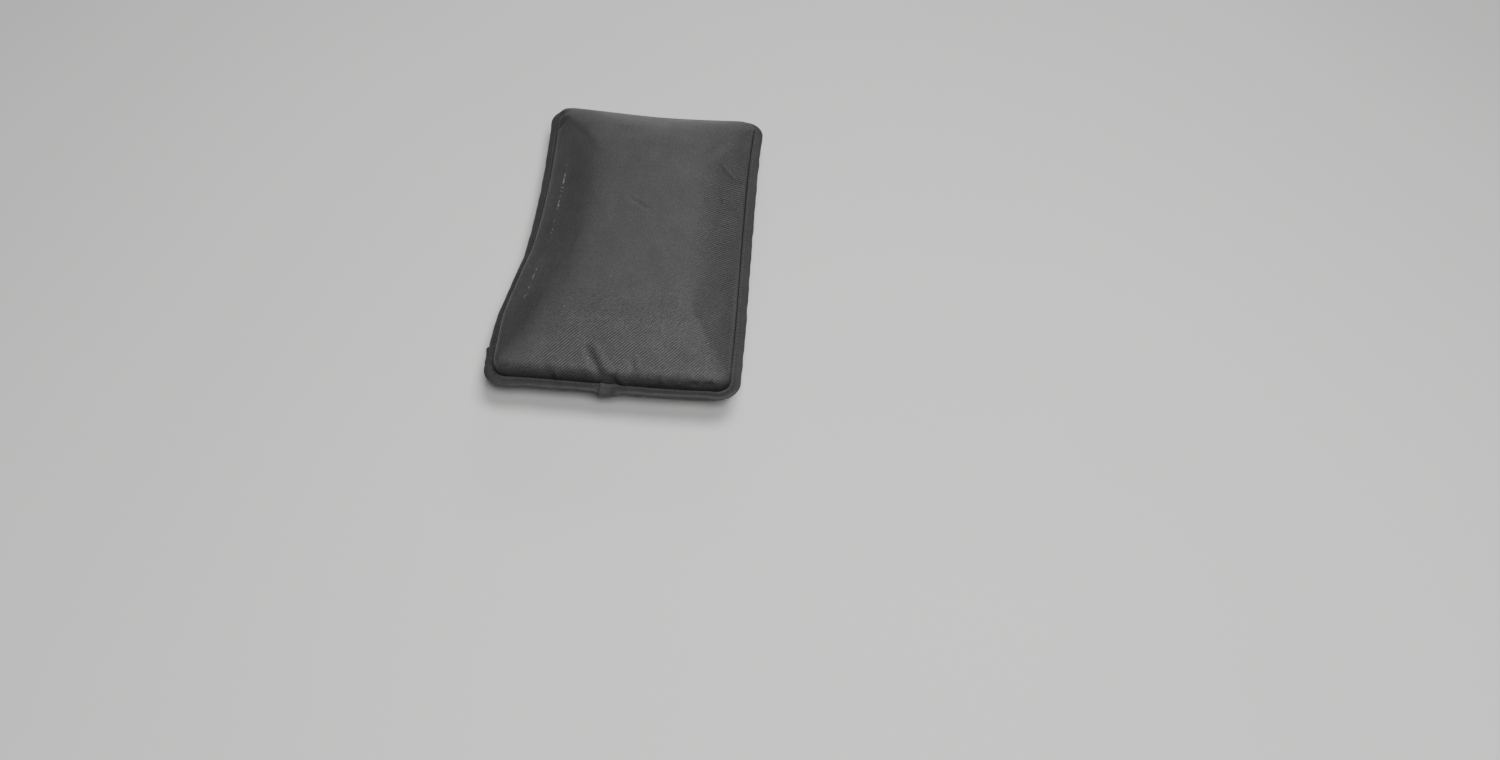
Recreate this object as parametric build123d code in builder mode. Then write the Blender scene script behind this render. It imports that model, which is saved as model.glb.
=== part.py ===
"""Camp pillow: two cloth panels bound together round a foam slab that is faced with wadding.

Millimetres. +Z is up, +Y runs along the pillow's long side and +X along its short side. The origin is
at the bottom of the pillow, in the middle of the flat part of the underside that it rests on.

The two panels are stitched together flat, all round, outside the padded body. A folded tape, in two
lengths that lap over each other at two splices, covers that edge, and a lockstitch holds it on.
"""

from build123d import *

import math
import os

# The padded body, inside the seam.
seam_width = 212.0
seam_length = 366.0
seam_corner = 13.0
top_rise = 36.0
top_run = 75.0
under_depth = 30.0
under_run = 56.0
crown_power = 2.3
crown_steps = 8

# How fast a corner's radius grows towards the crown, and its largest share of a section's width.
corner_softening = 0.2
corner_limit = 0.49

# Cloth, tape and thread.
cloth = 0.6
seam_allowance = 9.0
tape = 0.7
tape_cover = 10.0
tape_clearance = 0.4
fold_roundness = 0.7
thread_width = 0.55
thread_height = 0.3
stitch_length = 3.5
stitch_pitch = 4.5
stitch_inset = 2.4
joining_seam_outset = 5.5

# Splices of the tape: where the covering end stops, and how much of the other length it covers.
front_splice_x = -13.5
side_splice_from_end = 33.0
lap_length = 15.0
lap_root = 4.0

# Filling: the slab's place inside the seam, and how deep the wadding lies over each face of it.
foam_inset = 11.0
foam_corner = 20.0
foam_edge = 12.0
wadding_above = 13.1
wadding_below = 11.1

# Gaps that keep neighbouring layers from sharing space.
layer_gap = 0.15
lap_gap = 0.05

# Levels, each measured from the seam.
seam_height = under_depth
flange_half = cloth
pocket_half = flange_half + thread_height + lap_gap
tape_half = pocket_half + tape
lap_inner_half = tape_half + lap_gap
lap_half = lap_inner_half + tape
foam_above_seam = top_rise - cloth - 2 * layer_gap - wadding_above
foam_below_seam = under_depth - cloth - 2 * layer_gap - wadding_below

# How far out from the seam the flanges' pocket and the layers of the tape reach.
pocket_reach = seam_allowance + layer_gap
tape_reach = max(tape_cover, pocket_reach + tape)
lap_inner_reach = tape_reach + lap_gap
lap_reach = lap_inner_reach + tape

# Each lap along its edge, and where the covered end inside it stops.
front_join_x = front_splice_x + lap_length
front_lap_end = front_join_x + lap_root
side_splice_y = side_splice_from_end - seam_length / 2
side_join_y = side_splice_y - lap_length
side_lap_end = side_join_y - lap_root

# A length that reaches past the whole pillow.
far = 2 * seam_length


def outline(outset):
    """Width, length and corner radius of the seam's outline moved out by outset, or in if it is negative."""
    growth = outset if outset > 0 else -outset * corner_softening
    width = seam_width + 2 * outset
    length = seam_length + 2 * outset
    return width, length, min(seam_corner + growth, corner_limit * width, corner_limit * length)


def crown(rise, run, skin=0.0):
    """(inset, height) of each section of a crowned half, a superellipse from the seam to its flat top.

    skin moves the sections square to the surface, towards the inside.
    """
    sections = []
    for step in range(crown_steps + 1):
        angle = math.pi / 2 * step / crown_steps
        across = math.cos(angle) ** (2 / crown_power)
        up = math.sin(angle) ** (2 / crown_power)
        lean = math.atan2(run * up ** (crown_power - 1), rise * across ** (crown_power - 1))
        inset = run * (1 - across) + skin * math.cos(lean)
        height = rise * up - skin * math.sin(lean)
        sections.append((inset, height))
    return sections


def clear_of_laps(x, y):
    """Distance along the edge from a point on the tape to the nearer lap, negative where it lies on one."""
    from_front = max(front_splice_x - x, x - front_lap_end) if y < -seam_length / 2 else far
    from_side = max(side_lap_end - y, y - side_splice_y) if x < -seam_width / 2 else far
    return min(from_front, from_side)


def stitch_places(outset):
    """A location for each stitch of a seam that goes round the pillow, heading along it."""
    with BuildSketch() as loop:
        RectangleRounded(*outline(outset))
    path = loop.sketch.wires()[0]
    count = round(path.length / stitch_pitch)
    places = []
    for number in range(count):
        share = (number + 0.5) / count
        spot = path.position_at(share)
        along = path.tangent_at(share)
        heading = math.degrees(math.atan2(along.Y, along.X))
        places.append(Location((spot.X, spot.Y, 0), (0, 0, heading)))
    return places


pieces = {}


# Foam slab with rounded edges, and the space that it takes with a gap all round.

with BuildPart() as foam_core:
    with BuildSketch(Plane.XY.offset(seam_height - foam_below_seam)):
        RectangleRounded(seam_width - 2 * foam_inset, seam_length - 2 * foam_inset, foam_corner)
    extrude(amount=foam_above_seam + foam_below_seam)
    fillet(foam_core.edges().filter_by(Plane.XY), radius=foam_edge)

with BuildPart() as foam_space:
    with BuildSketch(Plane.XY.offset(seam_height - foam_below_seam - layer_gap)):
        RectangleRounded(
            seam_width - 2 * foam_inset + 2 * layer_gap,
            seam_length - 2 * foam_inset + 2 * layer_gap,
            foam_corner + layer_gap,
        )
    extrude(amount=foam_above_seam + foam_below_seam + 2 * layer_gap)
    fillet(foam_space.edges().filter_by(Plane.XY), radius=foam_edge + layer_gap)

pieces["foam_core"] = foam_core


# Each half of the body: a crowned panel with a flat flange, and the wadding between it and the foam.

halves = (
    ("top_panel", "upper_wadding", 1, top_rise, top_run),
    ("bottom_panel", "lower_wadding", -1, under_depth, under_run),
)

for panel_name, wadding_name, side, rise, run in halves:
    with BuildPart() as panel:
        for inset, height in crown(rise, run):
            with BuildSketch(Plane.XY.offset(seam_height + side * height)):
                RectangleRounded(*outline(-inset))
        loft()
        with BuildSketch(Plane.XY.offset(seam_height)):
            RectangleRounded(*outline(seam_allowance))
        extrude(amount=side * cloth)
        for inset, height in crown(rise, run, cloth):
            with BuildSketch(Plane.XY.offset(seam_height + side * height)):
                RectangleRounded(*outline(-inset))
        loft(mode=Mode.SUBTRACT)
    pieces[panel_name] = panel

    with BuildPart() as wadding:
        for inset, height in crown(rise, run, cloth + layer_gap):
            with BuildSketch(Plane.XY.offset(seam_height + side * height)):
                RectangleRounded(*outline(-inset))
        loft()
        add(foam_space.part, mode=Mode.SUBTRACT)
    pieces[wadding_name] = wadding


# Edge tape. Two folded loops over the flanges, the wider one for the laps, are cut into two lengths.

with BuildPart() as flange_space:
    with BuildSketch(Plane.XY.offset(seam_height - pocket_half)):
        RectangleRounded(*outline(pocket_reach))
    extrude(amount=2 * pocket_half)

with BuildPart() as covered_space:
    with BuildSketch(Plane.XY.offset(seam_height - lap_inner_half)):
        RectangleRounded(*outline(lap_inner_reach))
    extrude(amount=2 * lap_inner_half)

folded_loops = []
for half, reach in ((tape_half, tape_reach), (lap_half, lap_reach)):
    with BuildPart() as folded_loop:
        with BuildSketch(Plane.XY.offset(seam_height - half)):
            RectangleRounded(*outline(reach))
        extrude(amount=2 * half)
        fillet(folded_loop.edges().filter_by(Plane.XY), radius=fold_roundness * half)
        with BuildSketch(Plane.XY.offset(seam_height - half)):
            RectangleRounded(*outline(tape_clearance))
        extrude(amount=2 * half, mode=Mode.SUBTRACT)
        add(flange_space.part, mode=Mode.SUBTRACT)
    folded_loops.append(folded_loop.part)
tape_loop, lap_loop = folded_loops

with BuildPart() as front_covered:
    add(covered_space.part)
    with Locations((front_join_x + lap_gap, 0, 0)):
        Box(far, far, far, align=(Align.MAX, Align.CENTER, Align.CENTER), mode=Mode.INTERSECT)

with BuildPart() as side_covered:
    add(covered_space.part)
    with Locations((0, side_join_y - lap_gap, 0)):
        Box(far, far, far, align=(Align.CENTER, Align.MIN, Align.CENTER), mode=Mode.INTERSECT)

with BuildPart() as front_lap:
    add(lap_loop)
    with Locations((front_splice_x, 0, 0)):
        Box(lap_length + lap_root, far, far, align=(Align.MIN, Align.MAX, Align.CENTER), mode=Mode.INTERSECT)
    add(front_covered.part, mode=Mode.SUBTRACT)

with BuildPart() as side_lap:
    add(lap_loop)
    with Locations((0, side_splice_y, 0)):
        Box(far, lap_length + lap_root, far, align=(Align.MAX, Align.MAX, Align.CENTER), mode=Mode.INTERSECT)
    add(side_covered.part, mode=Mode.SUBTRACT)

with BuildPart() as binding_long:
    add(tape_loop)
    with Locations((front_join_x + lap_gap, side_join_y, 0)):
        Box(far, far, far, align=(Align.MAX, Align.MAX, Align.CENTER), mode=Mode.SUBTRACT)
    add(front_lap.part)
pieces["binding_long"] = binding_long

with BuildPart() as binding_short:
    add(tape_loop)
    with Locations((front_join_x, side_join_y - lap_gap, 0)):
        Box(far, far, far, align=(Align.MAX, Align.MAX, Align.CENTER), mode=Mode.INTERSECT)
    add(side_lap.part)
pieces["binding_short"] = binding_short


# Seams. Each stitch is a short flat float of thread that lies on the layer it holds down, and a place
# where a float would straddle the step at the end of a lap has none.

joined_at = stitch_places(joining_seam_outset)
bound_at = stitch_places(stitch_inset)
half_stitch = stitch_length / 2
on_tape = [place for place in bound_at if clear_of_laps(place.position.X, place.position.Y) > half_stitch]
on_laps = [place for place in bound_at if clear_of_laps(place.position.X, place.position.Y) < -half_stitch]

seams = (
    ("joining_seam", (1, -1), ((joined_at, flange_half),)),
    ("binding_seam_upper", (1,), ((on_tape, tape_half), (on_laps, lap_half))),
    ("binding_seam_lower", (-1,), ((on_tape, tape_half), (on_laps, lap_half))),
)

for seam_name, sides, rows in seams:
    with BuildPart() as seam:
        for side in sides:
            for places, level in rows:
                with BuildSketch(Plane.XY.offset(seam_height + side * level)):
                    with Locations(*places):
                        SlotOverall(stitch_length, thread_width)
                extrude(amount=side * thread_height)
    pieces[seam_name] = seam


os.makedirs("parts", exist_ok=True)
for name, piece in pieces.items():
    piece.part.label = name
    export_step(piece.part, f"parts/{name}.step")
    print(name, len(piece.part.solids()), "solids", round(piece.part.volume), "mm3")
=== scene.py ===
"""Camp pillow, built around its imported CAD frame.

Shapes are worked out in millimetres and turned into metres where a mesh is made. The seam is where the
two panels are joined, and everything outside it is placed by three numbers: the distance round the seam,
the distance out from it, and the height off the plane of the flanges.
"""

import math

import bpy
import numpy as np
from mathutils import Matrix, Vector


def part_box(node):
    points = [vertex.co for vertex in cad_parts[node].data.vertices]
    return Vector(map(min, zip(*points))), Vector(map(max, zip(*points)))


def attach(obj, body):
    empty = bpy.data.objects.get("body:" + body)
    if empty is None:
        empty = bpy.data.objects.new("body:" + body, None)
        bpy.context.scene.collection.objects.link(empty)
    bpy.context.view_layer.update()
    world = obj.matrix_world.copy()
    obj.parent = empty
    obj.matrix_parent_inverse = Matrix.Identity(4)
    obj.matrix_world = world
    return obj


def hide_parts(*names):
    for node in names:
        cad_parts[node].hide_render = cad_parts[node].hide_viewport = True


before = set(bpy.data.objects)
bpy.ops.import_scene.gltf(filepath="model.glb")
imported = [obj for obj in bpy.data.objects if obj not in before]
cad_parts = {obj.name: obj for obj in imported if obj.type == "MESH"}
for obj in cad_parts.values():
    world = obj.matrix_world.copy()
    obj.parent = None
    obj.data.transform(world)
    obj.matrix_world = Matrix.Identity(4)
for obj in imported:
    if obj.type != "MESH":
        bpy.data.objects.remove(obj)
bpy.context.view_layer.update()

MM = 0.001


def span(node):
    """Lowest and highest corner of a CAD node, in millimetres."""
    low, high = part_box(node)
    return np.array(low) / MM, np.array(high) / MM


# Sizes that the CAD part has but its boxes don't show.
SEAM_ALLOWANCE = 9.0
SEAM_CORNER = 13.0
CLOTH = 0.6
TAPE = 0.7
THREAD = 0.3
LAYER_GAP = 0.15
LAP_GAP = 0.05
LAP_LENGTH = 15.0
LAP_ROOT = 4.0
FRONT_SPLICE_X = -13.5
SIDE_SPLICE_FROM_END = 33.0
STITCH_LENGTH = 3.5
STITCH_PITCH = 4.5
STITCH_INSET = 2.4
JOINING_OUTSET = 5.5
TOP_RUN = 75.0
UNDER_RUN = 56.0

# Sizes read from the frame.
top_low, top_high = span("top_panel")
under_low, _ = span("bottom_panel")
foam_low, foam_high = span("foam_core")
SEAM_Z = top_low[2]
HALF_WIDTH = top_high[0] - SEAM_ALLOWANCE
HALF_LENGTH = top_high[1] - SEAM_ALLOWANCE
RISE = top_high[2] - SEAM_Z
DEPTH = SEAM_Z - under_low[2]

# How much of the rise is the gentle dome over the whole top, and how fast the corners open towards it.
DOME = 4.0
CORNER_GROWTH = 0.48

# The padded section: height of its wall at the near and far seams, how far in it turns over, and the curves
# of that turn and of the slope.
WALL = 15.0
FAR_WALL = 8.0
WALL_TURN = 2.6
TURN_POWER = 3
SLOPE_POWER = 2.4

# Mesh counts: columns along a short side, rows along a long one, and how far in the rings reach.
COLUMNS = 54
ROWS = 96
ROUND = 2 * (COLUMNS + ROWS)
RING_STEP = 3.6
RING_REACH = 42.0

# The seam's own shape: how far each side moves along X or Y, at places along it.
LEFT_SIDE = ((-183, -3.0), (-122, -6.0), (-70, 0.0), (-25, 6.0), (60, 6.5), (135, 3.0), (183, 0.5))
RIGHT_SIDE = ((-183, -5.0), (-120, -3.5), (-30, -4.5), (100, -5.5), (183, -5.0))
NEAR_SIDE = ((-106, -1.5), (-20, -2.0), (60, -2.0), (106, 0.5))
FAR_SIDE = ((-106, 0.0), (0, -3.5), (106, 0.5))

# How far each corner is drawn out along X and along Y, and how fast that fades away from it.
CORNER_PULL = 2.4
CORNER_FADE = 8

# How much further right than its CAD place the front splice ends up, along the settled near side.
FRONT_SPLICE_SHIFT = 4.0

# How far the bound edge droops from flat, in degrees, at shares of the way round it, and the bend's width.
DROOP = (
    (0.0, 14), (0.02, -4), (0.05, -10), (0.079, -12), (0.0845, 24), (0.091, 22), (0.1, -10),
    (0.125, -18), (0.165, -24), (0.182, -14), (0.2, 0), (0.3, 6), (0.42, 3), (0.475, 12), (0.5, 24),
    (0.6, 14), (0.645, 22), (0.662, 34), (0.682, 44), (0.7, 38), (0.75, 34), (0.85, 34), (0.95, 38),
    (0.985, 30),
)
DROOP_BEND = 3.5

# Mesh working: halvings and steps of the two searches, and how round a narrow ring may get.
HALVINGS = 40
FINE_STEPS = 2000
FULL_ROUND = 0.98

# Simulation of the filled skin: its pressure and length, how loose the cloth is and how far from the seam,
# the most that a point may move, and how much of its sideways move is kept.
PRESSURE = 4.0
SIMULATED_FRAMES = 20
SIMULATION_QUALITY = 6
SLACK = 0.02
SLACK_REACH = 18.0
MOST_IN = 0.3
MOST_OUT = 2.0
SIDEWAYS = 0.3
SOFTENING = 8

# Rows of a panel's flange, out from the seam, and the tight turn from the flange up into the body.
FLANGE_ROWS = (9.0, 5.0, 2.0, 0.7, 0.1)
FLANGE_GAP = 0.02
TURN_UP = 0.3

# Puckers beside the seam, as counts round it and phases, with the steady and changing shares of their
# depth, and the filling's unevenness.
GATHERS = ((125, 0.4), (79, 2.1), (48, 4.0))
GATHER_SWELL = ((7, 0.0),)
GATHER_STEADY = 0.65
GATHER_CHANGING = 0.35
GATHER_REACH = 11.0
GATHER_DEPTH = 0.16
SEAM_HOLD = 2.5
FILLING_WAVES = ((31.0, 53.0, 0.3), (-24.0, 41.0, 1.9), (47.0, -29.0, 3.6))
FILLING_DEPTH = 0.18
FILLING_FADE = 30.0

# Creases: from, to, depth, width and the share of the depth that the ridge beside it has. The ridge stands
# RIDGE_PLACE widths away, and the one on the other side has OTHER_RIDGE of its height.
RIDGE_PLACE = 1.7
OTHER_RIDGE = 0.4
TOP_CREASES = (
    ((-25, -162), (-5, -194), 1.2, 4.2, 0.9),
    ((0, -186), (10, -211), 1.8, 4.2, 0.6),
    ((18, -170), (21, -188), 0.6, 3.0, 0.5),
    ((-60, -182), (-50, -202), 0.6, 3.0, 0.7),
    ((40, -184), (47, -203), 0.6, 3.0, 0.7),
    ((-118, 158), (-94, 178), 1.4, 3.5, 0.7),
    ((-118, 136), (-96, 158), 1.2, 3.5, 0.7),
    ((76, 91), (101, 75), 0.95, 3.0, 1.2),
    ((80, 40), (98, 30), 0.7, 3.0, 0.6),
    ((-13, 23), (8, 7), 0.55, 2.2, 0.4),
    ((72, -192), (79, -190), 1.5, 3.2, 0.3),
    ((86, -192), (93, -190), 1.4, 3.2, 0.3),
)
UNDER_CREASES = (
    ((-96, -60), (-80, -35), 0.7, 3.5, 0.6),
    ((84, 120), (100, 150), 0.8, 3.5, 0.6),
)

# Filling.
FOAM_INSET = HALF_WIDTH - foam_high[0]
FOAM_EDGE = 12.0
WADDING_START = 1.0
WADDING_DEPTH = 1.7
LEAST_WADDING = 4.5
SLAB_STEPS = 7

# Tape. A swell is its height, its place out from the seam and its spread.
TAPE_HALF = CLOTH + THREAD + LAP_GAP + TAPE
TAPE_REACH = 10.0
FOLD_DEPTH = 0.75
FOLD_POWER = 2.4
LIP_ROUNDING = 0.2
LIP_SWELL = (0.40, 0.5, 0.7)
PLUMP_SWELL = (0.5, 6.4, 2.2)
SEAM_SINK = 0.26
PRICK_SINK = 0.18
SINK_SPREAD = 0.7
TAPE_REACHES = ((25, 0.0), (58, 1.0), (37, 4.4))
REACH_WAVER = 0.14
TAPE_HEIGHTS = ((35, 2.0), (78, 0.5))
HEIGHT_WAVER = 0.05
TAPE_OUTS = (0.45, 0.7, 1.1, 1.7, 2.4, 3.1, 4.1, 5.2, 6.4, 7.5, 8.4, 9.1, 9.6, 9.9, 10.0)
OUTER_CLOSING = (7.6, 10.0)
INNER_CLOSING = (8.2, 10.0)
TAPE_STEP = 1.5
LAP_FLARE = 1.1
LAP_FLARE_REACH = 6.0

# Thread.
THREAD_RADIUS = 0.27
THREAD_STEPS = 7
THREAD_SIDES = 6
THREAD_DIVE = 0.4
THREAD_TAPER = 0.35

# Colours, the sizes of yarns, ribs and the twist of the thread, and where the line of lint runs.
CLOTH_COLOUR = (0.033, 0.0325, 0.0325)
LINT_COLOUR = (0.19, 0.185, 0.175, 1.0)
TAPE_COLOUR = (0.027, 0.0265, 0.0267)
THREAD_COLOUR = (0.034, 0.034, 0.036)
FOAM_COLOUR = (0.78, 0.77, 0.70)
WADDING_COLOUR = (0.88, 0.88, 0.87)
FLOOR_COLOUR = (0.57, 0.57, 0.565)
YARN = 1.0
YARN_DEPTH = 0.16
RIB = 0.95
TAPE_YARN = 0.45
TWIST = 1.1
LINT_X = -89.0
LINT_Y = -12.0
LINT_HALF_LENGTH = 100.0

# Studio, in metres: name, place, aim, size, watts.
LIGHTS = (
    ("overhead", (0.42, 0.04, 1.9), (0.0, -0.1, 0.03), (1.0, 1.0), 37.0),
    ("front", (0.40, -1.2, 1.7), (0.0, -0.1, 0.03), (0.8, 0.6), 32.0),
    ("behind", (0.0, 2.5, 1.05), (0.0, 0.1, 0.03), (1.0, 0.4), 20.0),
)
WORLD_STRENGTH = 0.04
FLOOR_REACH = 6000.0
FLOOR_DROP = -0.2

# Camera, in degrees and millimetres.
CAMERA_AZIMUTH = 0.30
CAMERA_ELEVATION = 50.75
CAMERA_ROLL = -4.44
CAMERA_AIM = (120.1, -165.7, 30.0)
CAMERA_DISTANCE = 1175.9
CAMERA_LENS = 31.2
CAMERA_SENSOR = 36.0


def through(points, at, period=None):
    """Smooth curve through (place, value) pairs, with cubic steps. period closes it into a loop."""
    place, value = np.array(points, float).T
    if period:
        place = np.concatenate((place - period, place, place + period))
        value = np.tile(value, 3)
    slope = np.zeros(len(place))
    slope[1:-1] = (value[2:] - value[:-2]) / (place[2:] - place[:-2])
    at = np.clip(at, place[0], place[-1])
    low = np.clip(np.searchsorted(place, at, side="right") - 1, 0, len(place) - 2)
    step = place[low + 1] - place[low]
    t = (at - place[low]) / step
    return (
        value[low] * (2 * t**3 - 3 * t**2 + 1)
        + step * slope[low] * (t**3 - 2 * t**2 + t)
        + value[low + 1] * (3 * t**2 - 2 * t**3)
        + step * slope[low + 1] * (t**3 - t**2)
    )


def settle(points):
    """Moves points of the straight-sided pillow: the sides curve in or out and the corners are drawn out."""
    x, y, z = points[..., 0], points[..., 1], points[..., 2]
    across = np.clip(x / HALF_WIDTH, -1, 1)
    along = np.clip(y / HALF_LENGTH, -1, 1)
    move_x = through(LEFT_SIDE, y) * (1 - across) / 2 + through(RIGHT_SIDE, y) * (1 + across) / 2
    move_y = through(NEAR_SIDE, x) * (1 - along) / 2 + through(FAR_SIDE, x) * (1 + along) / 2
    pull = CORNER_PULL * np.abs(across * along) ** CORNER_FADE
    move_x, move_y = move_x + pull * np.sign(across), move_y + pull * np.sign(along)
    return np.stack((x + move_x, y + move_y, z), -1)


# The outline, in four sides from the middle of one corner to the middle of the next: near, right, far, left.

HEADINGS = (((1, 0), (0, -1)), ((0, 1), (1, 0)), ((-1, 0), (0, 1)), ((0, -1), (-1, 0)))
COUNTS = (COLUMNS, ROWS, COLUMNS, ROWS)


def side_length(side, inset=0.0, radius=SEAM_CORNER):
    """Length of a side of the outline, between the middles of its corners."""
    half = (HALF_WIDTH, HALF_LENGTH)[side % 2] - inset
    return 2 * (half - radius) + radius * math.pi / 2


def side_points(side, share, inset=0.0, radius=SEAM_CORNER):
    """Plan points at shares of the way along a side of the outline moved in by inset."""
    half, reach = HALF_WIDTH - inset, HALF_LENGTH - inset
    if side % 2:
        half, reach = reach, half
    run = (np.asarray(share) - 0.5) * side_length(side, inset, radius)
    straight = half - radius
    turn = np.clip(np.abs(run) - straight, 0, None) / radius
    tangential = np.sign(run) * (np.minimum(np.abs(run), straight) + radius * np.sin(turn))
    outward = reach - radius * (1 - np.cos(turn))
    heading, normal = np.array(HEADINGS[side], float)
    return tangential[..., None] * heading + outward[..., None] * normal


LENGTHS = np.array([side_length(side) for side in range(4)])
STARTS = np.concatenate(([0], np.cumsum(LENGTHS)))
PERIMETER = STARTS[-1]
STITCHES = round(PERIMETER / STITCH_PITCH)
PITCH = PERIMETER / STITCHES
RING_PLACES = np.concatenate([STARTS[s] + LENGTHS[s] * np.arange(COUNTS[s]) / COUNTS[s] for s in range(4)])


def seam_line(distance):
    """Points of the sewn seam at distances round it."""
    distance = np.mod(distance, PERIMETER)
    plan = np.zeros(np.shape(distance) + (2,))
    for side in range(4):
        here = (distance >= STARTS[side]) & (distance < STARTS[side + 1])
        plan[here] = side_points(side, (distance[here] - STARTS[side]) / LENGTHS[side])
    return settle(np.concatenate((plan, np.full(np.shape(distance) + (1,), SEAM_Z)), -1))


def edge_point(distance, out, height):
    """Points of the bound edge: distance round the seam, out from it, and height off the flanges' plane."""
    run = seam_line(distance + 0.5) - seam_line(distance - 0.5)
    run /= np.linalg.norm(run, axis=-1, keepdims=True)
    outward = np.stack((run[..., 1], -run[..., 0], np.zeros(np.shape(distance))), -1)
    droop = np.radians(through(DROOP, np.mod(distance, PERIMETER) / PERIMETER, 1.0))
    bent = np.minimum(out, DROOP_BEND)
    tilt = droop * bent / DROOP_BEND
    reach = bent * np.sinc(tilt / math.pi) + (out - bent) * np.cos(droop)
    fall = bent * np.sinc(tilt / 2 / math.pi) ** 2 * tilt / 2 + (out - bent) * np.sin(droop)
    flat = reach + height * np.sin(tilt)
    lift = height * np.cos(tilt) - fall
    return seam_line(distance) + outward * flat[..., None] + np.array((0, 0, 1)) * lift[..., None]


# The padded body.


def profile(inset, rise, run, wall):
    """Height of the padded section at an inset from the seam: a wall, a tight turn, then a long slope."""
    turn = (1 - (1 - np.clip(inset / WALL_TURN, 0, 1)) ** TURN_POWER) ** (1 / TURN_POWER)
    slope = 1 - (1 - np.clip(inset / run, 0, 1)) ** SLOPE_POWER
    return wall * turn + (rise - wall) * slope


def crown_height(plan, inset, rise, run, dome):
    """Height of the body's surface off the plane of the seam."""
    bow = (1 - (plan[..., 0] / HALF_WIDTH) ** 2) * (1 - (plan[..., 1] / HALF_LENGTH) ** 2)
    wall = WALL + (FAR_WALL - WALL) * (1 + plan[..., 1] / HALF_LENGTH) / 2
    return profile(inset, rise - dome, run, wall) + dome * np.clip(bow, 0, 1)


def inset_of(plan):
    """How far in from the seam's outline a plan point is, found by halving."""
    low = np.zeros(plan.shape[:-1])
    high = np.full(plan.shape[:-1], HALF_WIDTH)
    for _ in range(HALVINGS):
        inset = (low + high) / 2
        radius = np.minimum(SEAM_CORNER + CORNER_GROWTH * inset, FULL_ROUND * (HALF_WIDTH - inset))
        over_x = np.abs(plan[..., 0]) - (HALF_WIDTH - inset - radius)
        over_y = np.abs(plan[..., 1]) - (HALF_LENGTH - inset - radius)
        outside = np.hypot(np.clip(over_x, 0, None), np.clip(over_y, 0, None))
        gap = outside + np.minimum(np.maximum(over_x, over_y), 0) - radius
        low = np.where(gap < 0, inset, low)
        high = np.where(gap < 0, high, inset)
    return (low + high) / 2


def travel(rise, run, reach):
    """Insets from the seam to reach, and how far each is over the surface."""
    inset = np.linspace(0, 1, FINE_STEPS) ** 2 * reach
    step = np.hypot(np.diff(inset), np.diff(profile(inset, rise, run, WALL)))
    return inset, np.concatenate(([0], np.cumsum(step)))


def ring_plan(inset, radius):
    """One ring's plan points."""
    shares = [np.arange(count) / count for count in COUNTS]
    return np.concatenate([side_points(side, shares[side], inset, radius) for side in range(4)])


def ring_outward(plan):
    """Outward directions of a ring's plan points."""
    run = np.roll(plan, -1, 0) - np.roll(plan, 1, 0)
    outward = np.stack((run[:, 1], -run[:, 0]), -1)
    return outward / np.linalg.norm(outward, axis=-1, keepdims=True)


def grid_plan(ring):
    """Plan points of the grid that fills a ring, without the ring's own."""
    near, right = ring[: COLUMNS + 1], ring[COLUMNS : COLUMNS + ROWS + 1]
    far = ring[COLUMNS + ROWS : 2 * COLUMNS + ROWS + 1][::-1]
    left = np.concatenate((ring[2 * COLUMNS + ROWS :], ring[:1]))[::-1]
    s = (np.arange(COLUMNS + 1) / COLUMNS)[:, None, None]
    t = (np.arange(ROWS + 1) / ROWS)[None, :, None]
    sides = (1 - t) * near[:, None] + t * far[:, None] + (1 - s) * left[None] + s * right[None]
    corners = (1 - s) * (1 - t) * near[0] + s * (1 - t) * near[-1] + (1 - s) * t * far[0] + s * t * far[-1]
    return (sides - corners)[1:-1, 1:-1].reshape(-1, 2)


def lay_out(insets):
    """Plan points of a ring at each inset, then of the grid inside the last ring."""
    rings = [ring_plan(inset, SEAM_CORNER + CORNER_GROWTH * inset) for inset in insets]
    return np.concatenate((*rings, grid_plan(rings[-1])))


def half_body(rise, run, dome, side):
    """Half the body: its points, their places in the cloth and ways from the seam, and its rings."""
    dense, travelled = travel(rise, run, HALF_WIDTH)
    reach = np.interp(RING_REACH, dense, travelled)
    rings = round(reach / RING_STEP) + 1
    insets = np.interp(np.linspace(0, reach, rings), travelled, dense)
    plan = lay_out(insets)
    inset = np.concatenate((np.repeat(insets, ROUND), inset_of(plan[rings * ROUND :])))
    way = np.interp(inset, dense, travelled)
    unrolled = plan.copy()
    for ring in range(rings):
        here = slice(ring * ROUND, (ring + 1) * ROUND)
        further = reach - way[here] - (RING_REACH - inset[here])
        unrolled[here] += ring_outward(plan[here]) * further[:, None]
    height = SEAM_Z + side * crown_height(plan, inset, rise, run, dome)
    return settle(np.column_stack((plan, height))), np.column_stack((unrolled, way)), rings


def half_faces(rings, side):
    """Quads of half the body: between its rings, then the grid inside the last."""
    n = np.arange(ROUND)
    after = (n + 1) % ROUND
    base = ROUND * np.arange(rings - 1)[:, None]
    between = np.stack((base + n, base + after, base + ROUND + after, base + ROUND + n), -1).reshape(-1, 4)
    index = np.zeros((COLUMNS + 1, ROWS + 1), int)
    last = (rings - 1) * ROUND
    index[:, 0] = last + np.arange(COLUMNS + 1)
    index[-1, :] = last + COLUMNS + np.arange(ROWS + 1)
    index[::-1, -1] = last + COLUMNS + ROWS + np.arange(COLUMNS + 1)
    index[0, ::-1] = last + (2 * COLUMNS + ROWS + np.arange(ROWS + 1)) % ROUND
    index[1:-1, 1:-1] = rings * ROUND + np.arange((COLUMNS - 1) * (ROWS - 1)).reshape(COLUMNS - 1, ROWS - 1)
    filled = np.stack((index[:-1, :-1], index[1:, :-1], index[1:, 1:], index[:-1, 1:]), -1).reshape(-1, 4)
    return np.concatenate((between, filled))[:, ::side]


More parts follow.
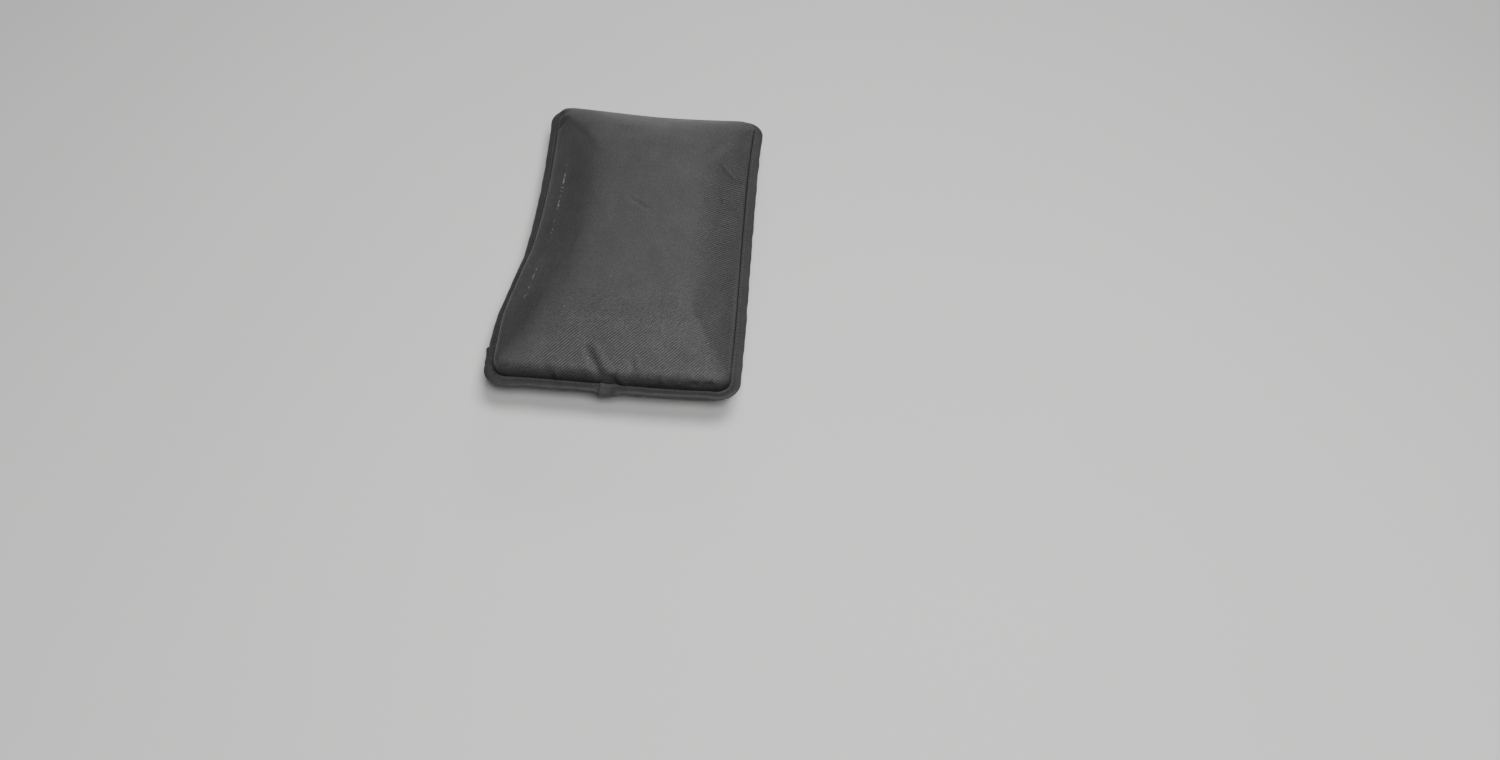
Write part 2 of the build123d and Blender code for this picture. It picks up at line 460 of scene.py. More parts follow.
def joined(outer, outer_rings, inner, inner_rings, side):
    """Points and faces of a closed skin, from two halves that share their first ring."""
    turned = half_faces(inner_rings, -side)
    turned = np.where(turned >= ROUND, turned + len(outer) - ROUND, turned)
    return np.concatenate((outer, inner[ROUND:])), np.concatenate((half_faces(outer_rings, side), turned))


# Meshes.


def mesh_object(name, points, faces, weave=None):
    """A smooth-shaded object from millimetre points, carrying its cloth coordinates if it has them."""
    mesh = bpy.data.meshes.new(name)
    faces = faces.tolist() if isinstance(faces, np.ndarray) else faces
    mesh.from_pydata((points * MM).tolist(), [], faces)
    mesh.shade_smooth()
    if weave is not None:
        held = mesh.attributes.new("weave", "FLOAT_VECTOR", "POINT")
        held.data.foreach_set("vector", np.ascontiguousarray(weave, np.float32).ravel())
    thing = bpy.data.objects.new(name, mesh)
    bpy.context.scene.collection.objects.link(thing)
    return thing


def read(thing):
    """Points, vertex normals and faces of an object as its modifiers leave it, in millimetres."""
    shown = thing.evaluated_get(bpy.context.evaluated_depsgraph_get())
    mesh = shown.to_mesh()
    points = np.empty(3 * len(mesh.vertices), np.float32)
    normals = np.empty(3 * len(mesh.vertices), np.float32)
    mesh.vertices.foreach_get("co", points)
    mesh.vertices.foreach_get("normal", normals)
    faces = [tuple(face.vertices) for face in mesh.polygons]
    shown.to_mesh_clear()
    return points.reshape(-1, 3).astype(float) / MM, normals.reshape(-1, 3).astype(float), faces


def discard(thing):
    """Removes a working object."""
    mesh = thing.data
    bpy.data.objects.remove(thing)
    bpy.data.meshes.remove(mesh)


def subdivided(points, faces):
    """The mesh after one smooth subdivision."""
    working = mesh_object("working", points, faces)
    smooth = working.modifiers.new("smooth", "SUBSURF")
    smooth.levels = 1
    smooth.render_levels = 1
    result = read(working)
    discard(working)
    return result


# Filling the cover. The two halves are one closed skin, held at the seam and blown up like a stuffed one.


def inflate(points, faces, slack):
    """The skin after its simulation. The filling stops it from moving far in, and slack is looser cloth."""
    skin = mesh_object("inflating", points, faces)
    held = skin.vertex_groups.new(name="held")
    held.add(list(range(ROUND)), 1.0, "REPLACE")
    loose = skin.vertex_groups.new(name="loose")
    for vertex, share in enumerate(slack):
        loose.add([vertex], float(share), "REPLACE")
    cloth = skin.modifiers.new("cloth", "CLOTH").settings
    cloth.quality = SIMULATION_QUALITY
    cloth.use_pressure = True
    cloth.uniform_pressure_force = PRESSURE
    cloth.effector_weights.gravity = 0
    cloth.vertex_group_mass = "held"
    cloth.vertex_group_shrink = "loose"
    cloth.shrink_min = 0
    cloth.shrink_max = -SLACK
    for step in range(1, SIMULATED_FRAMES + 1):
        bpy.context.scene.frame_set(step)
    moved = read(skin)[0]
    discard(skin)
    bpy.context.scene.frame_set(1)
    before = mesh_object("before", points, faces)
    outward = read(before)[1]
    discard(before)
    move = moved - points
    out = (move * outward).sum(1, keepdims=True)
    sideways = move - outward * out
    most = np.where(out < 0, MOST_IN, MOST_OUT)
    move = outward * most * np.tanh(out / most) + sideways * SIDEWAYS
    starts, ends = faces.ravel(), np.roll(faces, -1, 1).ravel()
    neighbours = np.bincount(starts, minlength=len(points))[:, None]
    for _ in range(SOFTENING):
        around = np.column_stack([np.bincount(starts, move[ends, axis], len(points)) for axis in range(3)])
        move = (move + around / neighbours) / 2
    move[:ROUND] = 0
    return points + move


def rest_flat(points):
    """Keeps points on or above the surface that the pillow lies on."""
    points = points.copy()
    points[:, 2] = np.maximum(points[:, 2], 0)
    return points


TOP_HALF = (RISE, TOP_RUN, DOME, 1)
UNDER_HALF = (DEPTH, UNDER_RUN, 0.0, -1)
top_points, top_cloth, top_rings = half_body(*TOP_HALF)
under_points, under_cloth, under_rings = half_body(*UNDER_HALF)

skin_points, skin_faces = joined(top_points, top_rings, under_points, under_rings, 1)
way = np.concatenate((top_cloth[:, 2], under_cloth[ROUND:, 2]))
blown = inflate(skin_points, skin_faces, np.exp(-way / SLACK_REACH))
under_points = np.concatenate((blown[:ROUND], blown[len(top_points) :]))
top_points = blown[: len(top_points)]
under_points = rest_flat(under_points)


# Creases, each sunk into the cloth along a line in its unrolled coordinates, with a ridge beside it.


def crease_depth(cloth, start, end, depth, width, ridge):
    """How far a crease moves the cloth out, which is less than nothing in its valley."""
    start, end = np.array(start, float), np.array(end, float)
    line = end - start
    length = np.linalg.norm(line)
    line /= length
    away = cloth[:, :2] - start
    along = away @ line / length
    across = (away[:, 1] * line[0] - away[:, 0] * line[1]) / width
    fade = np.clip(along, 0, 1) * np.clip(1 - along, 0, 1) * 4
    beyond = np.clip(np.abs(along - 0.5) - 0.5, 0, None) * length / width
    fade = np.clip(fade, 0, 1) ** 0.5 * np.exp(-beyond**2)
    valley = np.exp(-across**2)
    hump = np.exp(-((across - RIDGE_PLACE) ** 2)) + OTHER_RIDGE * np.exp(-((across + RIDGE_PLACE) ** 2))
    return depth * fade * (ridge * hump - valley)


def round_and_round(distance, waves):
    """A sum of waves that close up after one turn round the seam, from pairs of a count and a phase."""
    return sum(np.sin(2 * math.pi * count * distance / PERIMETER + phase) for count, phase in waves)


def gathers(distance, way):
    """Small puckers that the stitching draws into the cloth beside the seam."""
    share = GATHER_STEADY + GATHER_CHANGING * round_and_round(distance, GATHER_SWELL)
    return GATHER_DEPTH * round_and_round(distance, GATHERS) * share * np.exp(-((way / GATHER_REACH) ** 2))


def unevenness(cloth):
    """Soft highs and lows of the filling under the cloth."""
    x, y, way = cloth.T
    waves = sum(np.sin(x / across + y / along + phase) for across, along, phase in FILLING_WAVES)
    return FILLING_DEPTH * waves * np.clip(way / FILLING_FADE, 0, 1)


# Cover panels: flange rows out under the tape, a tight turn at the seam, and the filled body.


def panel(name, side, body, cloth, rings, creases):
    """One panel of the cover, as a shell of cloth, and the points and normals of its body's coarse mesh."""
    seam_cloth = cloth[:ROUND, :2]
    seam_out = ring_outward(seam_cloth)
    rows, held = [], []
    level = np.full(ROUND, side * (CLOTH + FLANGE_GAP))
    for out in FLANGE_ROWS:
        rows.append(edge_point(RING_PLACES, np.full(ROUND, out), level))
        held.append(np.column_stack((seam_cloth + seam_out * out, np.full(ROUND, -out))))
    rows.append(rows[-1] * (1 - TURN_UP) + body[ROUND : 2 * ROUND] * TURN_UP)
    held.append(held[-1] * (1 - TURN_UP) + cloth[ROUND : 2 * ROUND] * TURN_UP)
    points = np.concatenate((*rows, body[ROUND:]))
    held = np.concatenate((*held, cloth[ROUND:]))
    faces = half_faces(rings - 1 + len(rows), side)
    turn = np.tile(2 * math.pi * RING_PLACES / PERIMETER, rings - 1 + len(rows))
    turn = np.concatenate((turn, np.zeros(len(points) - len(turn))))
    fine, normals, fine_faces = subdivided(points, faces)
    fine_cloth = subdivided(held, faces)[0]
    fine_turn = subdivided(np.column_stack((np.cos(turn), np.sin(turn), turn * 0)), faces)[0]
    distance = np.arctan2(fine_turn[:, 1], fine_turn[:, 0]) / (2 * math.pi) * PERIMETER
    move = unevenness(fine_cloth) + gathers(distance, fine_cloth[:, 2])
    for start, end, depth, width, ridge in creases:
        move = move + crease_depth(fine_cloth, start, end, depth, width, ridge)
    move *= np.clip(fine_cloth[:, 2] / SEAM_HOLD, 0, 1)
    shaped = fine + normals * move[:, None]
    if side < 0:
        shaped = rest_flat(shaped)
    piece = mesh_object(name, shaped, fine_faces, fine_cloth)
    shell = piece.modifiers.new("cloth", "SOLIDIFY")
    shell.thickness = CLOTH * MM
    shell.offset = -1
    body_part = slice(len(rows) * ROUND, len(points))
    return piece, shaped[body_part], normals[body_part]


# Filling. Half a layer is rings at insets and heights off the seam, and a flat grid inside the last.


def half_layer(levels, half, margin):
    """Points of half a layer of the filling, pressed down where the cover comes closer than margin."""
    rise, run, dome, side = half
    insets, heights = np.array(levels).T
    plan = lay_out(insets)
    grid = np.full(len(plan) - len(levels) * ROUND, heights[-1])
    height = np.concatenate((np.repeat(heights, ROUND), grid))
    cover = crown_height(plan, inset_of(plan), rise, run, dome)
    height = np.minimum(height, np.maximum(cover - margin, 0))
    return settle(np.column_stack((plan, SEAM_Z + side * height)))


def slab_levels(height, gap):
    """Insets and heights up the rounded edge of half the foam slab, with a gap all round."""
    inset, top, edge = FOAM_INSET - gap, height + gap, FOAM_EDGE + gap
    levels = [(inset, 0.0)]
    for angle in np.linspace(0, math.pi / 2, SLAB_STEPS):
        levels.append((inset + edge * (1 - math.cos(angle)), top - edge * (1 - math.sin(angle))))
    levels.append((inset + edge + RING_STEP, top))
    return levels


def wadding(name, half, body, normals, rings, height):
    """Wadding between a panel and the foam slab."""
    side = half[-1]
    outer = body - normals * WADDING_DEPTH
    levels = [(WADDING_START, LAYER_GAP / 2)]
    for inset, level in slab_levels(height, LAYER_GAP):
        levels.append((inset, max(level, LAYER_GAP / 2)))
    inner = half_layer(levels, half, LEAST_WADDING)
    inner[:ROUND, 2] = SEAM_Z + side * LAYER_GAP / 2
    points, faces = joined(np.concatenate((inner[:ROUND], outer)), rings, inner, len(levels), side)
    return mesh_object(name, points, faces, points)


# Edge tape.


def swell(out, height, place, spread):
    """A smooth rise across the tape."""
    return height * np.exp(-(((out - place) / spread) ** 2))


def tape_height(out, distance):
    """Half the thickness of the folded tape at a distance out from the seam, before its fold closes it."""
    prick = 0.5 + 0.5 * np.cos(2 * math.pi * distance / PITCH)
    drawn_in = swell(out, SEAM_SINK + PRICK_SINK * prick, STITCH_INSET, SINK_SPREAD)
    waver = HEIGHT_WAVER * round_and_round(distance, TAPE_HEIGHTS)
    return TAPE_HALF + swell(out, *LIP_SWELL) - drawn_in + swell(out, *PLUMP_SWELL) + waver


def raised(from_end):
    """How far the covering tape rises, over the other length and at its own cut end."""
    lift = np.clip((LAP_LENGTH + LAP_ROOT - from_end) / LAP_ROOT, 0, 1)
    lift = lift * lift * (3 - 2 * lift)
    return lift * (TAPE + LAP_GAP) + LAP_FLARE * np.exp(-((from_end / LAP_FLARE_REACH) ** 2))


def closing(out, start, end):
    """Share of the height left where the tape turns over at its fold."""
    return (1 - np.clip((out - start) / (end - start), 0, 1) ** FOLD_POWER) ** (1 / FOLD_POWER)


def both_faces(upper, sign):
    """One row across the tape: over its upper face to the fold, and back under its lower one."""
    return np.concatenate((upper, sign * upper[:, -2::-1]), 1)


def tape(name, start, end):
    """A length of folded tape round the seam. It rides over the other length at its start."""
    count = round((end - start) / TAPE_STEP)
    distance = np.linspace(start, end, count + 1)
    lift = raised(distance - start)
    reach = TAPE_REACH + REACH_WAVER * round_and_round(distance, TAPE_REACHES) + lift
    outs = np.array(TAPE_OUTS)
    share = (outs - outs[0]) / (outs[-1] - outs[0])
    height = tape_height(outs, distance[:, None]) + lift[:, None]
    outer_out = outs[0] + share * (reach - outs[0])[:, None]
    inner_out = outs[0] + share * (reach - outs[0] - FOLD_DEPTH)[:, None]
    outer = height * closing(outs, *OUTER_CLOSING)
    flange = CLOTH + 3 * FLANGE_GAP + lift[:, None]
    inner = np.maximum(height - TAPE, flange) * closing(outs, *INNER_CLOSING)
    outer[:, 0] -= LIP_ROUNDING
    inner[:, 0] += LIP_ROUNDING
    out = np.concatenate((both_faces(outer_out, 1), both_faces(inner_out, 1)[:, ::-1]), 1)
    level = np.concatenate((both_faces(outer, -1), both_faces(inner, -1)[:, ::-1]), 1)
    size = out.shape[1]
    along = np.repeat(distance, size)
    points = edge_point(along, out.ravel(), level.ravel())
    across = both_faces(np.tile(outs - outs[-1], (count + 1, 1)), -1)
    weave = np.column_stack((along, np.concatenate((across, across[:, ::-1]), 1).ravel(), along * 0))
    n = np.arange(size)
    after = (n + 1) % size
    base = size * np.arange(count)[:, None]
    skin = np.stack((base + n, base + after, base + size + after, base + size + n), -1).reshape(-1, 4)
    rim = np.arange(size // 2 - 1)
    cap = np.stack((rim, size - 1 - rim, size - 2 - rim, rim + 1), -1)
    return mesh_object(name, points, np.concatenate((skin, cap, cap[:, ::-1] + size * count)), weave)


# Stitches.


def stitches(name, floats):
    """Floats of thread, from the distance round the seam, the distance out and the height of each."""
    steps = np.linspace(-0.5, 0.5, THREAD_STEPS)
    angle = np.linspace(0, 2 * math.pi, THREAD_SIDES, endpoint=False)
    end = np.abs(steps) * 2
    dive = (THREAD_DIVE * end**4)[:, None]
    radius = (THREAD_RADIUS * (1 - THREAD_TAPER * end**6))[:, None]
    place, out, height = np.array(floats).T[:, :, None, None]
    along = place + (steps * STITCH_LENGTH)[:, None] + 0 * angle
    beside = out + radius * np.cos(angle) + 0 * along
    above = height - np.sign(height) * dive + radius * np.sin(angle) + 0 * along
    points = edge_point(along.ravel(), beside.ravel(), above.ravel())
    twist = np.broadcast_to(angle, along.shape)
    weave = np.column_stack((along.ravel(), twist.ravel(), np.zeros(along.size)))
    n = np.arange(THREAD_SIDES)
    after = (n + 1) % THREAD_SIDES
    base = THREAD_SIDES * np.arange(THREAD_STEPS - 1)[:, None]
    tube = np.stack((base + n, base + THREAD_SIDES + n, base + THREAD_SIDES + after, base + after), -1)
    first = THREAD_SIDES * THREAD_STEPS * np.arange(len(floats))[:, None]
    last = first + THREAD_SIDES * (THREAD_STEPS - 1)
    faces = (first[:, :, None] + tube.reshape(-1, 4)).reshape(-1, 4).tolist()
    faces += (first + n).tolist() + (last + n[::-1]).tolist()
    return mesh_object(name, points, faces, weave)


# The pieces.

halfway = LENGTHS / 2
front_splice = halfway[0] + FRONT_SPLICE_X + FRONT_SPLICE_SHIFT
side_splice = STARTS[3] + halfway[3] + HALF_LENGTH - SIDE_SPLICE_FROM_END

top_panel, top_body, top_normals = panel("cover_top", 1, top_points, top_cloth, top_rings, TOP_CREASES)
bottom_panel, under_body, under_normals = panel(
    "cover_bottom", -1, under_points, under_cloth, under_rings, UNDER_CREASES
)

foam_above = foam_high[2] - SEAM_Z
foam_below = SEAM_Z - foam_low[2]
upper_wadding = wadding("wadding_upper", TOP_HALF, top_body, top_normals, top_rings, foam_above)
lower_wadding = wadding("wadding_lower", UNDER_HALF, under_body, under_normals, under_rings, foam_below)
foam_top = half_layer(slab_levels(foam_above, 0), TOP_HALF, LEAST_WADDING + LAYER_GAP)
foam_under = half_layer(slab_levels(foam_below, 0), UNDER_HALF, LEAST_WADDING + LAYER_GAP)
slab_rings = SLAB_STEPS + 2
slab_points, slab_faces = joined(foam_top, slab_rings, foam_under, slab_rings, 1)
foam_core = mesh_object("foam_slab", slab_points, slab_faces, slab_points)

binding_long = tape("tape_long", front_splice, side_splice + LAP_LENGTH)
binding_short = tape("tape_short", side_splice, PERIMETER + front_splice + LAP_LENGTH)

joining, upper, lower = [], [], []
for number in range(STITCHES):
    place = (number + 0.5) * PITCH
    level = CLOTH + FLANGE_GAP
    joining += [(place, JOINING_OUTSET, level), (place, JOINING_OUTSET, -level)]
    level = tape_height(STITCH_INSET, place)
    straddles = False
    for splice in (front_splice, side_splice):
        from_end = (place - splice + PERIMETER / 2) % PERIMETER - PERIMETER / 2
        steps = (from_end, from_end - LAP_LENGTH - LAP_ROOT)
        straddles = straddles or min(abs(step) for step in steps) < STITCH_LENGTH / 2
        if from_end > 0:
            level += raised(from_end)
    if not straddles:
        upper.append((place, STITCH_INSET, level))
        lower.append((place, STITCH_INSET, -level))
joining_seam = stitches("thread_joining", joining)
binding_seam_upper = stitches("thread_upper", upper)
binding_seam_lower = stitches("thread_lower", lower)


# Materials.


class Paint:
    """Adds nodes to one material. Each call gives back an output of the node that it adds."""

    def __init__(self, name):
        self.material = bpy.data.materials.new(name)
        self.material.use_nodes = True
        self.tree = self.material.node_tree
        self.shader = self.tree.nodes["Principled BSDF"]

    def set(self, target, value):
        """Gives an input a constant, or links an output to it."""
        if isinstance(value, bpy.types.NodeSocket):
            self.tree.links.new(value, target)
        else:
            target.default_value = value

    def add(self, kind, *inputs, output=0, named=None, **settings):
        """A node of a kind, with its inputs given in order or by name."""
        node = self.tree.nodes.new("ShaderNode" + kind)
        for key, value in settings.items():
            setattr(node, key, value)
        for target, value in zip(node.inputs, inputs):
            if value is not None:
                self.set(target, value)
        for key, value in (named or {}).items():
            self.set(node.inputs[key], value)
        return node.outputs[output]

    def math(self, operation, *inputs):
        return self.add("Math", *inputs, operation=operation)

    def product(self, *shares):
        """All the shares multiplied together."""
        total = shares[0]
        for share in shares[1:]:
            total = self.math("MULTIPLY", total, share)
        return total

    def total(self, *weighted):
        """Sum of outputs, each paired with its weight."""
        parts = [self.math("MULTIPLY", output, weight) for output, weight in weighted]
        result = parts[0]
        for part in parts[1:]:
            result = self.math("ADD", result, part)
        return result

    def ridges(self, place, spacing):
        """Round ridges a spacing apart."""
        return self.math("ABSOLUTE", self.math("SINE", self.math("MULTIPLY", place, math.pi / spacing)))

    def hump(self, place):
        """A round hump over each whole step of a place."""
        return self.math("SINE", self.math("MULTIPLY", self.math("FRACT", place), math.pi))

    def chance(self, number):
        """A value from 0 to 1 that each number has to itself."""
        return self.add("TexWhiteNoise", named={"W": number}, noise_dimensions="1D")

    def parts(self, vector):
        """The three parts of a vector."""
        node = self.tree.nodes.new("ShaderNodeSeparateXYZ")
        self.tree.links.new(vector, node.inputs[0])
        return tuple(node.outputs)

    def weave(self):
        """Coordinates that the mesh carries, in millimetres."""
        return self.add("Attribute", attribute_name="weave", output=1)

    def noise(self, vector, scale, detail=2.0, roughness=0.5):
        named = {"Vector": vector, "Scale": scale, "Detail": detail, "Roughness": roughness}
        return self.add("TexNoise", named=named)

    def ramp(self, value, low, high, to_low=0.0, to_high=1.0):
        """Value taken from low..high to to_low..to_high, and held at the ends."""
        named = {"Value": value, "From Min": low, "From Max": high, "To Min": to_low, "To Max": to_high}
        return self.add("MapRange", named=named, clamp=True)

    def blend(self, share, one, other):
        """A share of the other colour over the one."""
        node = self.tree.nodes.new("ShaderNodeMix")
        node.data_type = "RGBA"
        self.set(node.inputs["Factor"], share)
        self.set(node.inputs[6], one)
        self.set(node.inputs[7], other)
        return node.outputs[2]

    def scaled(self, colour, share):
        """A colour made darker or lighter by a share."""
        return self.add("VectorMath", colour, operation="SCALE", named={"Scale": share})

    def finish(self, colour, roughness, height=None, depth=0.0, sheen=0.0, fuzz=0.5, specular=0.5):
        """Colour and roughness may be outputs. Height is in shares of depth, which is in millimetres."""
        self.set(self.shader.inputs["Base Color"], colour)
        self.set(self.shader.inputs["Roughness"], roughness)
        self.shader.inputs["Sheen Weight"].default_value = sheen
        self.shader.inputs["Sheen Roughness"].default_value = fuzz
        self.shader.inputs["Specular IOR Level"].default_value = specular
        if height is not None:
            named = {"Strength": 1.0, "Distance": depth * MM, "Height": height}
            self.set(self.shader.inputs["Normal"], self.add("Bump", named=named))
        return self.material


def cloth_material():
    """Black polyester twill: two threads over, one under, with a little lint."""
    paint = Paint("twill")
    weave = paint.weave()
    x, y, _ = paint.parts(weave)
    u, v = paint.math("DIVIDE", x, YARN), paint.math("DIVIDE", y, YARN)
    warp, weft = paint.math("FLOOR", u), paint.math("FLOOR", v)

    # Where each yarn goes over and under, and the diagonal ribs that this makes.
    phase = paint.math("FLOORED_MODULO", paint.math("SUBTRACT", v, warp), 3.0)
    wale = paint.math("SINE", paint.math("MULTIPLY", paint.math("SUBTRACT", v, u), 2 * math.pi / 3))
    floating = paint.math("SINE", paint.math("MULTIPLY", paint.math("MINIMUM", phase, 2.0), math.pi / 2))
    crossing = paint.math("SINE", paint.math("MULTIPLY", paint.math("MAXIMUM", phase, 2.0), math.pi))
    warp_height = paint.product(paint.hump(u), paint.math("POWER", floating, 0.5))
    weft_height = paint.product(paint.hump(v), paint.math("ABSOLUTE", crossing), 0.8)
    height = paint.math("ADD", paint.math("MAXIMUM", warp_height, weft_height), paint.product(wale, 0.35))

    # Tones of single yarns, unevenness from the whole cloth down to its fibres, and painted shade in weave
    # hollows and rib grooves.
    warp_tone, weft_tone = paint.chance(warp), paint.chance(paint.math("ADD", weft, 0.37))
    tone = paint.math("ADD", paint.total((warp_tone, 0.16), (weft_tone, 0.10)), 0.86)
    cloudy = paint.ramp(paint.noise(weave, 0.035, 3.0), 0.3, 0.7, 0.90, 1.12)
    worn = paint.ramp(paint.noise(weave, 0.11, 3.0), 0.45, 0.75, 1.0, 1.10)
    grain = paint.ramp(paint.noise(weave, 0.38, 3.0, 0.6), 0.32, 0.68, 0.66, 1.34)
    slubs = paint.ramp(paint.noise(weave, 0.9, 2.0, 0.7), 0.3, 0.7, 0.82, 1.16)
    # Painted shade: the colour darkens where the weave's height is low.
    hollow_shade = paint.ramp(height, 0.0, 0.8, 0.5, 1.08)
    # Painted shade in the grooves between the diagonal ribs and painted highlight on their crests.
    rib_light_and_shade = paint.ramp(wale, -1.0, 1.0, 0.45, 1.50)
    colour = paint.scaled(CLOTH_COLOUR, paint.product(tone, hollow_shade, cloudy, slubs, worn, grain, rib_light_and_shade))

    # Lint: dashes in a wandering line along one side, and a few flecks anywhere.
    from_line = paint.math("ABSOLUTE", paint.math("SUBTRACT", x, LINT_X))
    beside = paint.math("ADD", from_line, paint.product(paint.noise(weave, 0.05), 4.0))
    strip = paint.product(paint.ramp(beside, 3.1, 2.5), paint.ramp(beside, 1.3, 1.7))
    patch = paint.ramp(paint.noise(weave, 0.22, 2.0), 0.55, 0.58)
    from_middle = paint.math("ABSOLUTE", paint.math("SUBTRACT", y, LINT_Y))
    ends = paint.ramp(from_middle, LINT_HALF_LENGTH, 0.9 * LINT_HALF_LENGTH)
    flecks = paint.add("TexVoronoi", named={"Vector": weave, "Scale": 0.05, "Randomness": 1.0})
    lint = paint.math("MAXIMUM", paint.product(strip, patch, ends), paint.ramp(flecks, 0.034, 0.024))
    colour = paint.blend(lint, colour, LINT_COLOUR)

    smoother = paint.ramp(cloudy, 0.9, 1.12, 0.03, -0.03)
    roughness = paint.math("ADD", paint.ramp(height, 0.0, 1.0, 0.50, 0.36), smoother)
    return paint.finish(colour, roughness, height, YARN_DEPTH, specular=0.42)


def tape_material():
    """Ribbed polyester tape, with painted highlights along its fold and inner edge and painted shade between
    its ribs.
    """
    paint = Paint("ribbed_tape")
    weave = paint.weave()
    along, across, _ = paint.parts(weave)
    height = paint.total((paint.ridges(along, RIB), 0.7), (paint.ridges(across, TAPE_YARN), 0.3))
    rib_number = paint.math("FLOOR", paint.math("DIVIDE", along, RIB))
    tone = paint.math("ADD", paint.product(paint.chance(rib_number), 0.14), 0.93)
    from_fold = paint.math("ABSOLUTE", across)
    # Painted highlight: the colour gets lighter towards the fold.
    fold_highlight = paint.ramp(from_fold, 0.0, 1.8, 1.60, 1.0)
    # Painted highlight: the colour gets lighter along the inner edge.
    inner_edge_highlight = paint.ramp(from_fold, 8.4, 9.3, 1.0, 1.5)
    cloudy = paint.ramp(paint.noise(weave, 0.09, 3.0), 0.3, 0.7, 0.88, 1.14)
    fibres = paint.ramp(paint.noise(weave, 1.4, 2.0, 0.7), 0.3, 0.7, 0.82, 1.2)
    # Painted shade: the colour darkens between the ribs, where the height is low.
    hollow_shade = paint.ramp(height, 0.0, 0.8, 0.62, 1.06)
    colour = paint.scaled(TAPE_COLOUR, paint.product(tone, fold_highlight, inner_edge_highlight, cloudy, fibres, hollow_shade))
    roughness = paint.ramp(height, 0.0, 1.0, 0.80, 0.60)
    return paint.finish(colour, roughness, height, 0.12, sheen=0.04, fuzz=0.4, specular=0.25)


def thread_material():
    """Twisted polyester thread."""
    paint = Paint("twisted_thread")
    weave = paint.weave()
    along, angle, _ = paint.parts(weave)
    turn = paint.total((along, 2 * math.pi / TWIST), (angle, 2.0))
    ply = paint.math("ABSOLUTE", paint.math("SINE", turn))
    fibres = paint.ramp(paint.noise(weave, 2.5), 0.3, 0.7, 0.85, 1.15)
    # Painted shade: the colour darkens in the grooves between the plies.
    colour = paint.scaled(THREAD_COLOUR, paint.product(paint.ramp(ply, 0.0, 0.7, 0.55, 1.1), fibres))
    return paint.finish(colour, 0.48, ply, 0.08, sheen=0.15)


def foam_material():
    """Open-celled foam."""
    paint = Paint("open_cell_foam")
    place = paint.weave()
    cells = paint.add("TexVoronoi", named={"Vector": place, "Scale": 1.1, "Randomness": 1.0})
    coarse = paint.add("TexVoronoi", named={"Vector": place, "Scale": 0.35, "Randomness": 1.0})
    height = paint.total((cells, 0.7), (coarse, 0.3))
    tint = paint.ramp(paint.noise(place, 0.02, 3.0), 0.3, 0.7, 0.94, 1.04)
    # Painted shade: the colour darkens where the bump sinks into the cells.
    share = paint.product(paint.ramp(height, 0.1, 0.7, 1.05, 0.82), tint)
    return paint.finish(paint.scaled(FOAM_COLOUR, share), 0.95, height, -0.5, specular=0.2)


def wadding_material():
    """Lofted polyester fibres."""
    paint = Paint("lofted_fibres")
    place = paint.weave()
    wander = paint.add("TexNoise", named={"Vector": place, "Scale": 0.08}, output=1)
    swirl = paint.add("VectorMath", place, wander)
    strands = paint.add("TexNoise", named={"Vector": swirl, "Scale": 0.9, "Detail": 6.0, "Distortion": 2.5})
    tufts = paint.noise(place, 0.12, 3.0)
    height = paint.total((strands, 0.6), (tufts, 0.4))
    # Painted shade: the colour darkens where the fibres' bump height is low.
    share = paint.ramp(height, 0.3, 0.7, 0.86, 1.06)
    return paint.finish(paint.scaled(WADDING_COLOUR, share), 0.9, height, 0.7, sheen=0.3, specular=0.25)


def floor_material():
    """Plain pale floor."""
    paint = Paint("pale_floor")
    place = paint.add("TexCoord", output=3)
    share = paint.ramp(paint.noise(place, 1.7, 3.0), 0.3, 0.7, 0.985, 1.01)
    return paint.finish(paint.scaled(FLOOR_COLOUR, share), 0.85, specular=0.2)


cloth_look, tape_look, thread_look = cloth_material(), tape_material(), thread_material()
foam_look, wadding_look = foam_material(), wadding_material()

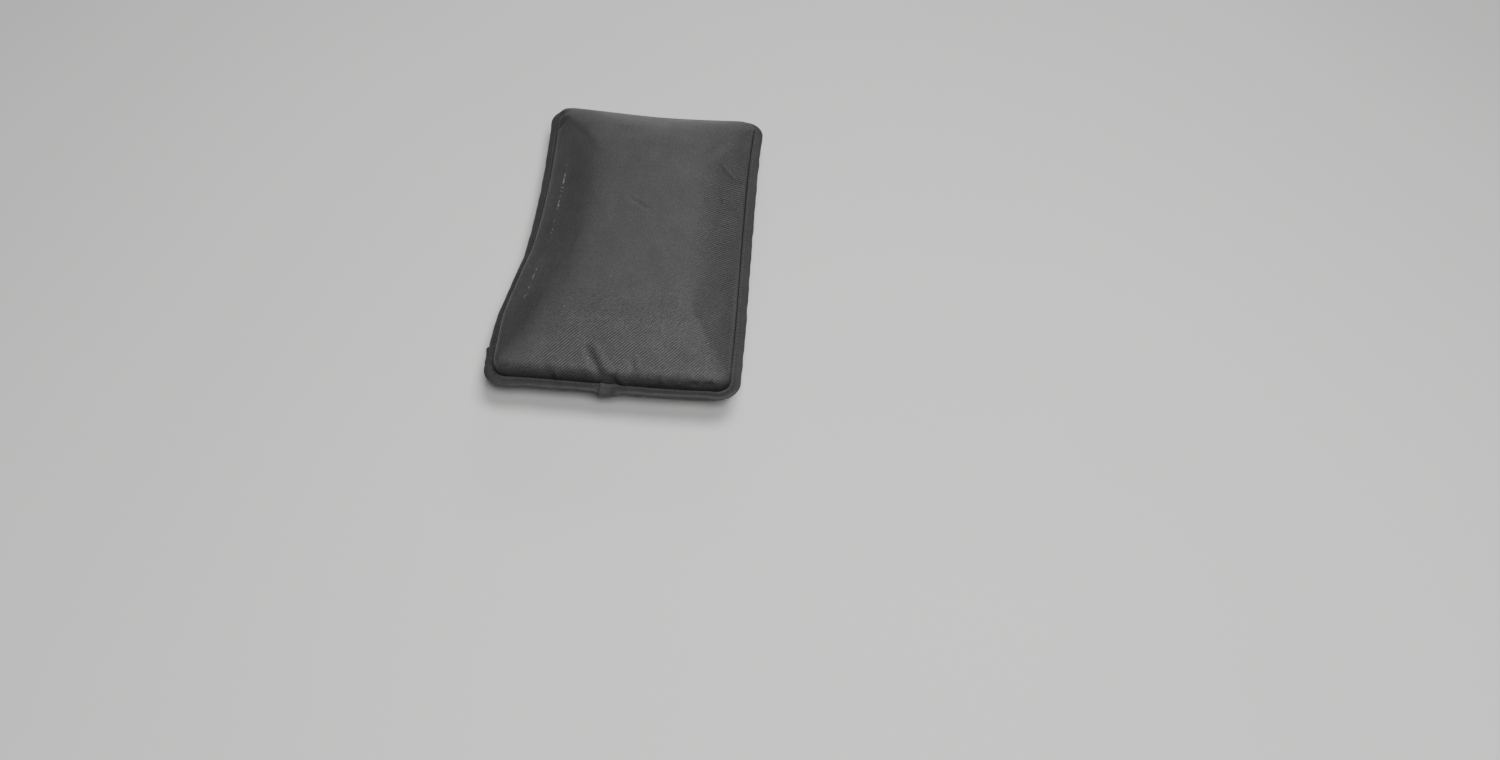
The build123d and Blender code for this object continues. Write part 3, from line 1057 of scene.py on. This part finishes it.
made = (
    (top_panel, "top_panel", "cover_cloth", cloth_look, 0.9),
    (bottom_panel, "bottom_panel", "cover_cloth", cloth_look, 0.9),
    (upper_wadding, "upper_wadding", "wadding", wadding_look, 0.9),
    (lower_wadding, "lower_wadding", "wadding", wadding_look, 0.9),
    (foam_core, "foam_core", "foam", foam_look, 1.0),
    (binding_long, "binding_long", "edge_tape", tape_look, None),
    (binding_short, "binding_short", "edge_tape", tape_look, None),
    (joining_seam, "joining_seam", "thread", thread_look, None),
    (binding_seam_upper, "binding_seam_upper", "thread", thread_look, None),
    (binding_seam_lower, "binding_seam_lower", "thread", thread_look, None),
)
for piece, node, slot, look, fill in made:
    piece.data.materials.append(look)
    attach(piece, "root")
    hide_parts(node)


# Floor, lights and camera.

floor_signs = ((-1, -1), (1, -1), (1, 1), (-1, 1))
corners = [(FLOOR_REACH * across, FLOOR_REACH * along, FLOOR_DROP) for across, along in floor_signs]
floor = mesh_object("floor", np.array(corners), [(0, 1, 2, 3)])
floor.data.materials.append(floor_material())


def softbox(name, place, aim, size, power):
    """A large square light at a place, facing an aim, both in metres."""
    light = bpy.data.lights.new(name, "AREA")
    light.shape = "RECTANGLE"
    light.size, light.size_y = size
    light.energy = power
    thing = bpy.data.objects.new(name, light)
    thing.location = place
    thing.rotation_euler = (Vector(aim) - Vector(place)).to_track_quat("-Z", "Y").to_euler()
    bpy.context.scene.collection.objects.link(thing)


for light in LIGHTS:
    softbox(*light)

world = bpy.data.worlds.new("studio")
world.use_nodes = True
world.node_tree.nodes["Background"].inputs["Color"].default_value = (1, 1, 1, 1)
world.node_tree.nodes["Background"].inputs["Strength"].default_value = WORLD_STRENGTH
bpy.context.scene.world = world

camera_angles = (CAMERA_AZIMUTH, CAMERA_ELEVATION, CAMERA_ROLL)
azimuth, elevation, roll = (math.radians(angle) for angle in camera_angles)
back = Vector((
    math.sin(azimuth) * math.cos(elevation),
    -math.cos(azimuth) * math.cos(elevation),
    math.sin(elevation),
))
across = (-back).cross(Vector((0, 0, 1))).normalized()
down = (-back).cross(across)
right = across * math.cos(roll) + down * math.sin(roll)
up = across * math.sin(roll) - down * math.cos(roll)
lens = bpy.data.cameras.new("camera")
lens.lens = CAMERA_LENS
lens.sensor_width = CAMERA_SENSOR
lens.clip_end = 50.0
lens.dof.use_dof = False
camera = bpy.data.objects.new("camera", lens)
turned = Matrix((right, up, back)).transposed().to_4x4()
camera.matrix_world = Matrix.Translation((Vector(CAMERA_AIM) + back * CAMERA_DISTANCE) * MM) @ turned
bpy.context.scene.collection.objects.link(camera)
bpy.context.scene.camera = camera
